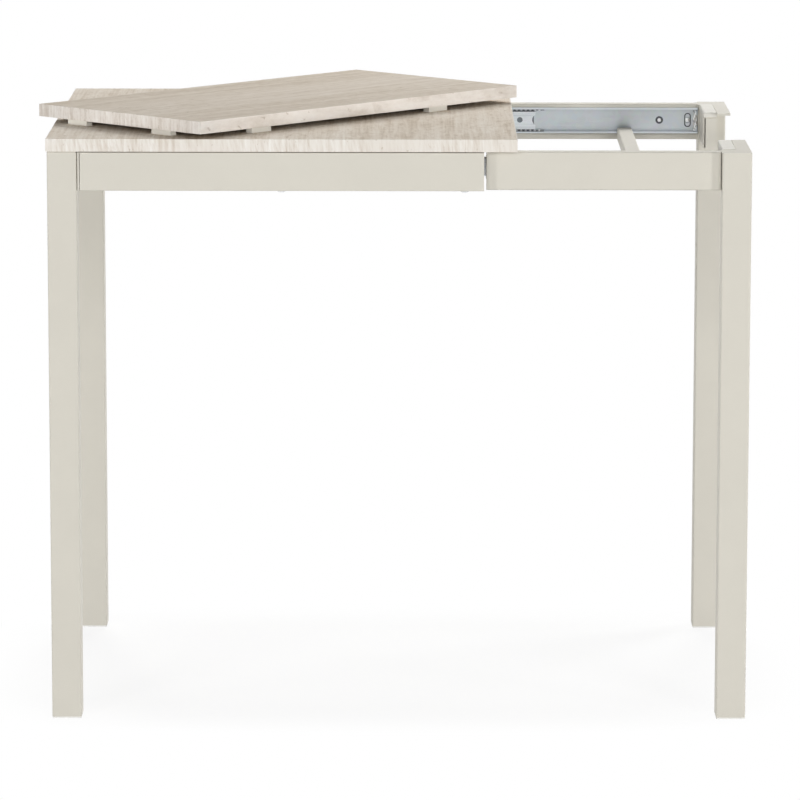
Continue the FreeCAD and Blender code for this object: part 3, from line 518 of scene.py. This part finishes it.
def add_fasteners(node, body, heading, shape, bright_reach=all_bright):
    """Puts a detailed fastener over each plain one of a node, its head facing the way heading gives.

    Faces wholly beyond the bright reach from its axis are dark: painted shade, standing for the shade and
    dark reflection on the head's flank.
    """
    points = []
    faces = []
    dark = []
    for low, high in loose_boxes(NODES[node]):
        middle = (low + high) / 2
        outward = Vector(heading(middle))
        axis = max(range(3), key=lambda index: abs(outward[index]))
        half = (high[axis] - low[axis]) / 2
        top = middle + outward * half
        turn = outward.to_track_quat("Z", "Y").to_matrix()
        rings = shape(2 * half)
        first = len(points)
        for ring in rings:
            points += [tuple(top + turn @ Vector(point)) for point in ring]
        radii = [math.hypot(x, y) for ring in rings for x, y, z in ring]
        for face in ring_faces(len(rings), TURNS):
            if min(radii[index] for index in face) > bright_reach(middle):
                dark.append(len(faces))
            faces.append(tuple(first + index for index in face))
    piece = add_piece(node + "_detailed", points, faces, BY_SLOT["zinc"], body)
    # The faces beyond the bright reach take painted shade
    if dark:
        second_material(piece, SHADE_PAINTED_STEEL, dark)
    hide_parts(node)


MIDDLE_Y = sum(corner[1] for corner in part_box("leaf_cross_bar")) / 2


def to_middle(middle):
    """The direction across the table to its middle."""
    return (0, 1 if middle.y < MIDDLE_Y else -1, 0)


def from_middle(middle):
    """The direction across the table away from its middle."""
    return (0, -1 if middle.y < MIDDLE_Y else 1, 0)


# Fasteners, in metres: radii of the shank and the head, and the head's rise
OUTER_SLIDE_SCREW = {"shank": 0.0019, "head": 0.0038, "rise": 0.0018}
INNER_SLIDE_SCREW = {"shank": 0.0019, "head": 0.0044, "rise": 0.0018}
APRON_SCREW = {"shank": 0.00225, "head": 0.0057, "rise": 0.0024}
LEG_BOLT = {"shank": 0.004, "head": 0.0065, "rise": 0.0053}

# Where the outer channels' slots begin along X, and the bright radius of the screws before them, beyond
# which their heads get painted shade, in metres
SLOT_X = 0.39
BRIGHT_REACH = 0.0024


def in_slot(middle):
    """Whether a screw of the outer channels sits in the slot near the leg."""
    return middle.x > SLOT_X


# The outer channels' screws outside the slots get a rim of painted shade on their heads
add_fasteners("moving_slide_screws", "moving_frame", to_middle,
              lambda length: pan_screw(length, **OUTER_SLIDE_SCREW),
              lambda middle: math.inf if in_slot(middle) else BRIGHT_REACH)
add_fasteners("fixed_slide_screws", "fixed_frame", from_middle,
              lambda length: pan_screw(length, **INNER_SLIDE_SCREW))
add_fasteners("apron_screws", "fixed_frame", lambda middle: (0, 0, -1),
              lambda length: pan_screw(length, **APRON_SCREW))
add_fasteners("leg_bolts", "fixed_frame", lambda middle: (1, 0, 0),
              lambda length: hex_bolt(length, **LEG_BOLT))

# Reach beyond the inner line and rise off the web, for a dished washer and for the rolled lip of a slot
WASHER = ((0.0, 0.0), (0.0, 0.0004), (0.0009, 0.0008), (0.0017, 0.0005), (0.0019, 0.0))
SLOT_LIP = ((0.0, 0.0), (0.0002, 0.0006), (0.0007, 0.0009), (0.0012, 0.0006), (0.0015, 0.0))
WASHER_HOLE = 0.0034
SLOT_HALF_WIDTH = 0.0031
SLOT_HALF_HEIGHT = 0.0083
# Depths of the slot's floor behind the web, front and back
SLOT_FLOOR = (0.0006, 0.0010)


# Pressed rims and tabs of the outer channels
def obround(half_width, half_height):
    """Points round an upright slot, in its own plane."""
    points = []
    straight = half_height - half_width
    for index in range(TURNS):
        angle = 2 * math.pi * (index + 0.5) / TURNS
        lift = straight if math.sin(angle) > 0 else -straight
        points.append((half_width * math.cos(angle), half_width * math.sin(angle) + lift))
    return points


def channel_loop(middle, half_width, half_height, depth):
    """A slot outline on a channel's web, at a depth along Y."""
    return [(middle.x + u, depth, middle.z + v) for u, v in obround(half_width, half_height)]


def add_slide_rims():
    """Dished washers under the outer channels' plain screws and rolled lips round their slots, both dark
    with painted shade, and a bright floor in each slot.
    """
    points = []
    faces = []
    floors = []
    for low, high in loose_boxes(NODES["moving_slide_screws"]):
        middle = (low + high) / 2
        inward = to_middle(middle)[1]
        web = (high.y if inward > 0 else low.y) - inward * OUTER_SLIDE_SCREW["rise"]
        half_width, half_height, section = WASHER_HOLE, WASHER_HOLE, WASHER
        if in_slot(middle):
            half_width, half_height, section = SLOT_HALF_WIDTH, SLOT_HALF_HEIGHT, SLOT_LIP
        first = len(points)
        closed = section + section[:1]
        for reach, rise in closed:
            points += channel_loop(middle, half_width + reach, half_height + reach, web + inward * rise)
        open_tube = ring_faces(len(closed), TURNS)[1:-1]
        faces += [tuple(first + index for index in face) for face in open_tube]
        if in_slot(middle):
            first = len(points)
            for depth in SLOT_FLOOR:
                points += channel_loop(middle, SLOT_HALF_WIDTH, SLOT_HALF_HEIGHT, web - inward * depth)
            plate = ring_faces(len(SLOT_FLOOR), TURNS)
            floors += range(len(faces), len(faces) + len(plate))
            faces += [tuple(first + index for index in face) for face in plate]
    # The washers and lips carry painted shade; the slot floors keep the channel's steel
    rims = add_piece("slide_rims", points, faces, SHADE_PAINTED_STEEL, "moving_frame")
    second_material(rims, BY_SLOT["galvanised"], floors)


# The coined stop tab: its grid of points, its size and its distance from the channel's end, in metres
TAB_ROWS = 10
TAB_COLUMNS = 5
TAB_WIDTH = 0.0056
TAB_HEIGHT = 0.031
TAB_MARGIN = 0.0004

# Thickness of the channel's web, and the rise of the tab's facets off it: the least, the extra on every
# second corner, and a small step
CHANNEL_SHEET = 0.0016
TAB_LEAST = 0.0004
TAB_TOOTH = 0.0010
TAB_STEP = 0.0003


def tab_rise(row, column):
    """The uneven height of a coined facet's corner."""
    return TAB_LEAST + TAB_TOOTH * ((row + column) % 2) + TAB_STEP * ((3 * row + column) % 4)


def grid_rim(rows, columns):
    """Indices round the outside of a grid of points, in order."""
    rim = list(range(columns))
    rim += [(row + 1) * columns - 1 for row in range(1, rows)]
    rim += [(rows - 1) * columns + column for column in reversed(range(columns - 1))]
    rim += [row * columns for row in reversed(range(1, rows - 1))]
    return rim


def add_end_stops():
    """The coined stop tab at the leg end of each outer channel, closed at its back."""
    points = []
    faces = []
    rim = grid_rim(TAB_ROWS, TAB_COLUMNS)
    for low, high in loose_boxes(NODES["slide_outer_members"]):
        middle = (low + high) / 2
        inward = to_middle(middle)[1]
        web = (low.y if inward > 0 else high.y) + inward * CHANNEL_SHEET
        first = len(points)
        for row in range(TAB_ROWS):
            for column in range(TAB_COLUMNS):
                x = high.x - TAB_MARGIN - TAB_WIDTH * (1 - column / (TAB_COLUMNS - 1))
                z = middle.z + TAB_HEIGHT * (row / (TAB_ROWS - 1) - 0.5)
                points.append((x, web + inward * tab_rise(row, column), z))
        back = len(points)
        points += [(points[first + index][0], web, points[first + index][2]) for index in rim]
        for row in range(TAB_ROWS - 1):
            for column in range(TAB_COLUMNS - 1):
                corner = first + row * TAB_COLUMNS + column
                faces.append((corner, corner + 1, corner + TAB_COLUMNS))
                faces.append((corner + 1, corner + TAB_COLUMNS + 1, corner + TAB_COLUMNS))
        for place in range(len(rim)):
            after = (place + 1) % len(rim)
            faces.append((first + rim[place], back + place, back + after, first + rim[after]))
        faces.append(tuple(range(back, back + len(rim))))
    add_piece("slide_end_stops", points, faces, COINED_STEEL_PAINTED_GLINT, "moving_frame")


add_slide_rims()
add_end_stops()

# Floor, in metres: half its length, and the half lengths of its shaded part
FLOOR_HALF = 20.0
SHADED_HALVES = {"X": 0.52, "Y": 0.37}
# How square the shaded part's corners are, and where the turn to white starts and ends, in shares of it
SHADED_CORNERS = 4.0
WHITE_START = 0.66
WHITE_END = 1.1
# Share of white in the shaded part, and share of the light that the floor throws back at the object
SHADED_WHITE = 0.74
FLOOR_BOUNCE = 0.4

# Strength of the world where it is seen, and of the light that it gives
WORLD_WHITE = 1.0
AMBIENT = 0.08

# Lamps: name, place, height aimed at over the origin and size in metres, and power in watts
LAMPS = (
    ("low_left", (-6.3, -4.4, 0.5), 0.5, 1.2, 154.0),
    ("low_right", (6.3, -4.4, 0.5), 0.5, 1.2, 180.0),
    ("side_left", (-7.0, 0.3, 0.45), 0.45, 1.5, 65.0),
    ("side_right", (7.0, 0.3, 0.45), 0.45, 1.5, 110.0),
    ("level_front_left", (-1.7, -8.4, 1.15), 0.6, 1.1, 62.0),
    ("level_front_right", (1.7, -8.4, 1.15), 0.6, 1.1, 62.0),
    ("front_left", (-3.0, -5.6, 2.6), 0.7, 2.0, 85.0),
    ("front_right", (3.0, -5.6, 2.6), 0.7, 2.0, 87.0),
    ("back", (0.0, 3.8, 3.4), 0.75, 3.0, 176.0),
    ("back_right", (3.1, 2.4, 3.0), 0.75, 2.0, 56.0),
)


# Floor, light and camera
def seen_ray(shader):
    """One where the camera, a mirror or glass looks straight at the surface."""
    path = shader.node("ShaderNodeLightPath")
    seen = shader.calc("MAXIMUM", path.outputs["Is Camera Ray"], path.outputs["Is Glossy Ray"])
    return shader.calc("MAXIMUM", seen, path.outputs["Is Transmission Ray"])


def floor_material():
    """Pale floor that keeps the object's shadow near it and turns white further out."""
    shader = Shader(bpy.data.materials.new("pale_floor"))
    shader.tree.nodes.remove(shader.surface)
    seen = seen_ray(shader)
    diffuse = shader.node("ShaderNodeBsdfDiffuse", Color=shader.mix(seen, grey(FLOOR_BOUNCE), WHITE))
    glow = shader.node("ShaderNodeEmission", Color=WHITE, Strength=1.0)
    place = shader.node("ShaderNodeSeparateXYZ", Vector=shader.place())
    reach = 0.0
    for axis, half in SHADED_HALVES.items():
        share = shader.calc("ABSOLUTE", shader.calc("DIVIDE", place.outputs[axis], half))
        reach = shader.calc("ADD", shader.calc("POWER", share, SHADED_CORNERS), reach)
    reach = shader.calc("POWER", reach, 1 / SHADED_CORNERS)
    white_share = shader.node("ShaderNodeMapRange", {"interpolation_type": "SMOOTHSTEP"}, Value=reach,
                              From_Min=WHITE_START, From_Max=WHITE_END, To_Min=SHADED_WHITE, To_Max=1.0)
    blend = shader.node("ShaderNodeMixShader")
    shader.put(blend, 0, shader.calc("MULTIPLY", seen, white_share.outputs[0]))
    shader.put(blend, 1, diffuse.outputs[0])
    shader.put(blend, 2, glow.outputs[0])
    shader.put(shader.tree.nodes["Material Output"], "Surface", blend.outputs[0])
    return shader.owner


def add_floor():
    """A wide flat floor under the object."""
    corners = [(-FLOOR_HALF, -FLOOR_HALF, 0), (FLOOR_HALF, -FLOOR_HALF, 0),
               (FLOOR_HALF, FLOOR_HALF, 0), (-FLOOR_HALF, FLOOR_HALF, 0)]
    mesh = bpy.data.meshes.new("floor")
    mesh.from_pydata(corners, [], [(0, 1, 2, 3)])
    mesh.materials.append(floor_material())
    floor = bpy.data.objects.new("floor", mesh)
    bpy.context.scene.collection.objects.link(floor)


def add_world():
    """White where it is seen, an even soft light elsewhere."""
    world = bpy.data.worlds.new("studio")
    bpy.context.scene.world = world
    shader = Shader(world)
    strength = shader.node("ShaderNodeMapRange", Value=seen_ray(shader), To_Min=AMBIENT, To_Max=WORLD_WHITE)
    shader.fill(shader.tree.nodes["Background"], Color=WHITE, Strength=strength.outputs[0])


def add_lamp(name, place, aim_height, size, power):
    """A round soft lamp that mirrors don't show."""
    lamp = bpy.data.lights.new(name, "AREA")
    lamp.shape = "DISK"
    lamp.size = size
    lamp.energy = power
    holder = bpy.data.objects.new(name, lamp)
    holder.location = place
    direction = Vector((0, 0, aim_height)) - Vector(place)
    holder.rotation_euler = direction.to_track_quat("-Z", "Y").to_euler()
    holder.visible_glossy = False
    bpy.context.scene.collection.objects.link(holder)


def add_camera():
    """The camera of the photograph."""
    camera = bpy.data.cameras.new("camera")
    camera.sensor_fit = "HORIZONTAL"
    camera.sensor_width = SENSOR_WIDTH
    camera.lens = FOCAL_PIXELS * SENSOR_WIDTH / IMAGE_WIDTH
    holder = bpy.data.objects.new("camera", camera)
    yaw = Matrix.Rotation(math.radians(CAMERA_YAW), 4, "Z")
    tilt = Matrix.Rotation(math.radians(90 - CAMERA_PITCH), 4, "X")
    roll = Matrix.Rotation(math.radians(CAMERA_ROLL), 4, "Z")
    holder.matrix_world = Matrix.Translation(CAMERA_PLACE) @ yaw @ tilt @ roll
    bpy.context.scene.collection.objects.link(holder)
    bpy.context.scene.camera = holder


add_floor()
add_world()
for lamp_row in LAMPS:
    add_lamp(*lamp_row)
add_camera()
bpy.context.scene.view_settings.view_transform = "Standard"
